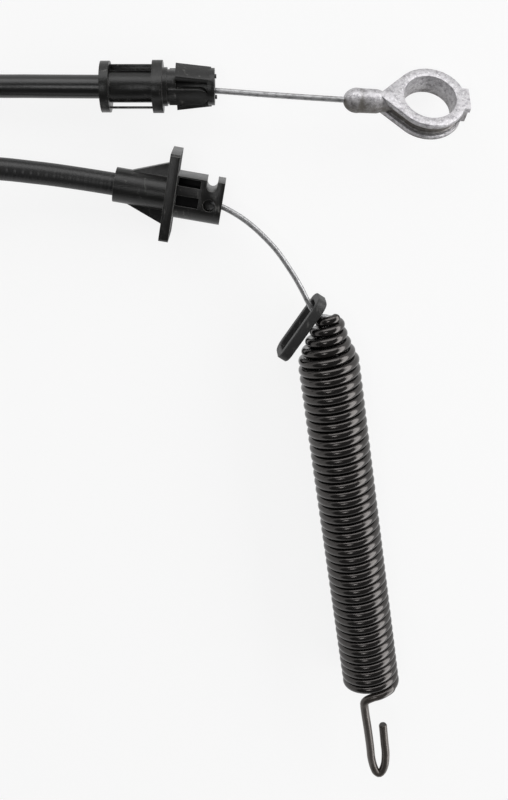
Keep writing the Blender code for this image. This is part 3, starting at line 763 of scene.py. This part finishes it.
def eyeRing():
    # r(a, t): the section's inner points keep the hole's radius, and its outer ones follow a teardrop, whose
    # straight sides are radius / cos(touch - a), measured from the tip
    radius, half, edge = eye["radius"], eye["thick"] / 2, eye["round"]
    cut, under, inner = 0.3 * edge, half - eye["flange"], -eye["groove"]
    # Upper half of the section, as share of the way out, step out from there, height
    upper = np.array([
        (0, 0, half - edge), (0, cut, half - cut), (0, edge, half), (1, -edge, half), (1, -cut, half - cut),
        (1, 0, half - edge), (1, 0, under + edge), (1, -cut, under + cut), (1, inner + edge, under),
        (1, inner, under - edge),
    ])
    section = np.concatenate([[(0, 0, 0)], upper, upper[::-1] * (1, 1, -1)])
    share, step, height = section.T[:, None]
    a = np.linspace(0, 2 * np.pi, eye["steps"], endpoint=False)[:, None]
    off = np.abs(a - np.pi)
    touch = math.acos(radius / eye["tip"])
    outer = np.where(off < touch, radius / np.cos(touch - np.minimum(off, touch)), radius)
    hole = eye["hole"] - eye["draft"] * (0.5 - height / eye["thick"])
    r = (1 - share) * hole + share * outer + step
    grid = np.stack([r * np.cos(a), r * np.sin(a), np.broadcast_to(height, r.shape)], axis=-1)
    ring = smooth(gridMesh("eyeRing", placedBy(eyeFrame, grid), wrapU=True), 30)
    return setPaintedShade(ring, np.broadcast_to(ringShade, r.shape))


def eyeBarrel():
    # A profile turned about X: a dome (start + length (1 - cos a), radius sin a), small steps, then the neck
    a = np.radians(np.linspace(eye["domeFrom"], 90, 14))
    start, radius, neck = eye["barrelStart"], eye["barrel"], eye["neck"]
    dome = np.stack([start + eye["domeLength"] * (1 - np.cos(a)), radius * np.sin(a)], axis=1)
    necked = [(eye["neckStart"], neck), (eye["neckEnd"], neck)]
    x, radii = np.concatenate([dome, np.array(barrelSteps) * (1, radius), necked]).T
    axis = np.stack([x, 0 * x, 0 * x], axis=1)
    barrel = smooth(sweptTube("eyeBarrel", placedBy(eyeFrame, axis), radii, eye["barrelSides"]), 50)
    # Painted shade lies behind the dome, where the wire goes in, and underneath
    rings = sum(amount * np.exp(-((x - place) / spread) ** 2) for place, spread, amount in barrelShade)
    around = np.linspace(0, 2 * np.pi, eye["barrelSides"], endpoint=False)
    under = underShade["amount"] * np.maximum(0, np.cos(around - underShade["turn"]))
    return setPaintedShade(barrel, np.minimum(1, rings[:, None] + under))


def roundedBlock(name, centre, half, power, paintedShade, count=24, poleGap=0.02):
    # Superellipsoid: x = a c(v) c(u), y = b c(v) s(u), z = h s(v), where c and s are the cosine and sine
    # to the given power, with their sign kept
    def powered(value):
        return np.sign(value) * np.abs(value) ** power

    u = np.linspace(-np.pi, np.pi, 2 * count, endpoint=False)[None, :]
    v = np.linspace(-np.pi / 2 + poleGap, np.pi / 2 - poleGap, count)[:, None]
    shape = (powered(np.cos(v)) * powered(np.cos(u)), powered(np.cos(v)) * powered(np.sin(u)),
             powered(np.sin(v)) + 0 * u)
    grid = np.stack(shape, axis=-1) * half + centre
    block = smooth(gridMesh(name, placedBy(eyeFrame, grid)), 50)
    return setPaintedShade(block, np.full(len(block.data.vertices), paintedShade))


eyePiece = eyeRing()
eyeParts = [eyePiece, eyeBarrel(), *(roundedBlock(*lug) for lug in lugs)]
for part in eyeParts:
    part.select_set(True)
bpy.context.view_layer.objects.active = eyePiece
with bpy.context.temp_override(active_object=eyePiece, selected_editable_objects=eyeParts, object=eyePiece):
    bpy.ops.object.join()
dress(eyePiece, "castEye", "eye_end", "cast_zinc", zinc, "cable_eye")
print("eye made")


# Mouldings
softWidths = {"snapFitting": 0.00018, "flangedAnchor": 0.00020}
pockets = {"from": 0.0164, "to": 0.0232, "depth": 0.0042, "rows": ((0.0033, 0.0057), (-0.0020, 0.0010))}


def paintPocketShade(piece, matrix):
    # Faces whose middles lie inside the pockets take the third material, a near-black nylon that paints the
    # shade in them
    count = len(piece.data.polygons)
    centres = np.zeros(count * 3)
    piece.data.polygons.foreach_get("center", centres)
    x, y, z = placedBy(matrix.inverted(), centres.reshape(-1, 3)).T
    inRow = np.any([(y > low) & (y < high) for low, high in pockets["rows"]], axis=0)
    inside = (x > pockets["from"]) & (x < pockets["to"]) & (np.abs(z) < pockets["depth"]) & inRow
    index = np.zeros(count, np.int32)
    piece.data.polygons.foreach_get("material_index", index)
    index[inside] = 2
    piece.data.polygons.foreach_set("material_index", index)


# Rounded edges take a paler nylon as a painted highlight
fittingPiece = softened("snap_in_fitting", "snapFitting", softWidths["snapFitting"])
dress(fittingPiece, "snapFitting", "conduit", "black_nylon", (nylon, nylonEdgeHighlight), "snap_in_fitting")
anchorPiece = softened("flanged_anchor", "flangedAnchor", softWidths["flangedAnchor"])
dress(anchorPiece, "flangedAnchor", "conduit", "black_nylon", (nylon, nylonEdgeHighlight, nylonPocketShade), "flanged_anchor")
# The anchor's pocket floors take a near-black nylon as a painted shade
paintPocketShade(anchorPiece, anchorFrame)
print("mouldings made")


# CAD nodes that are kept as they are
keptNodes = {
    "wire_end_stop": darkSteel, "upper_armour_end": brightSteel, "lower_armour_end": brightSteel,
    "upper_liner_end": liner, "lower_liner_end": liner,
}
for node, surface in keptNodes.items():
    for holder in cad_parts[node].material_slots:
        holder.material = surface
print("kept nodes finished")
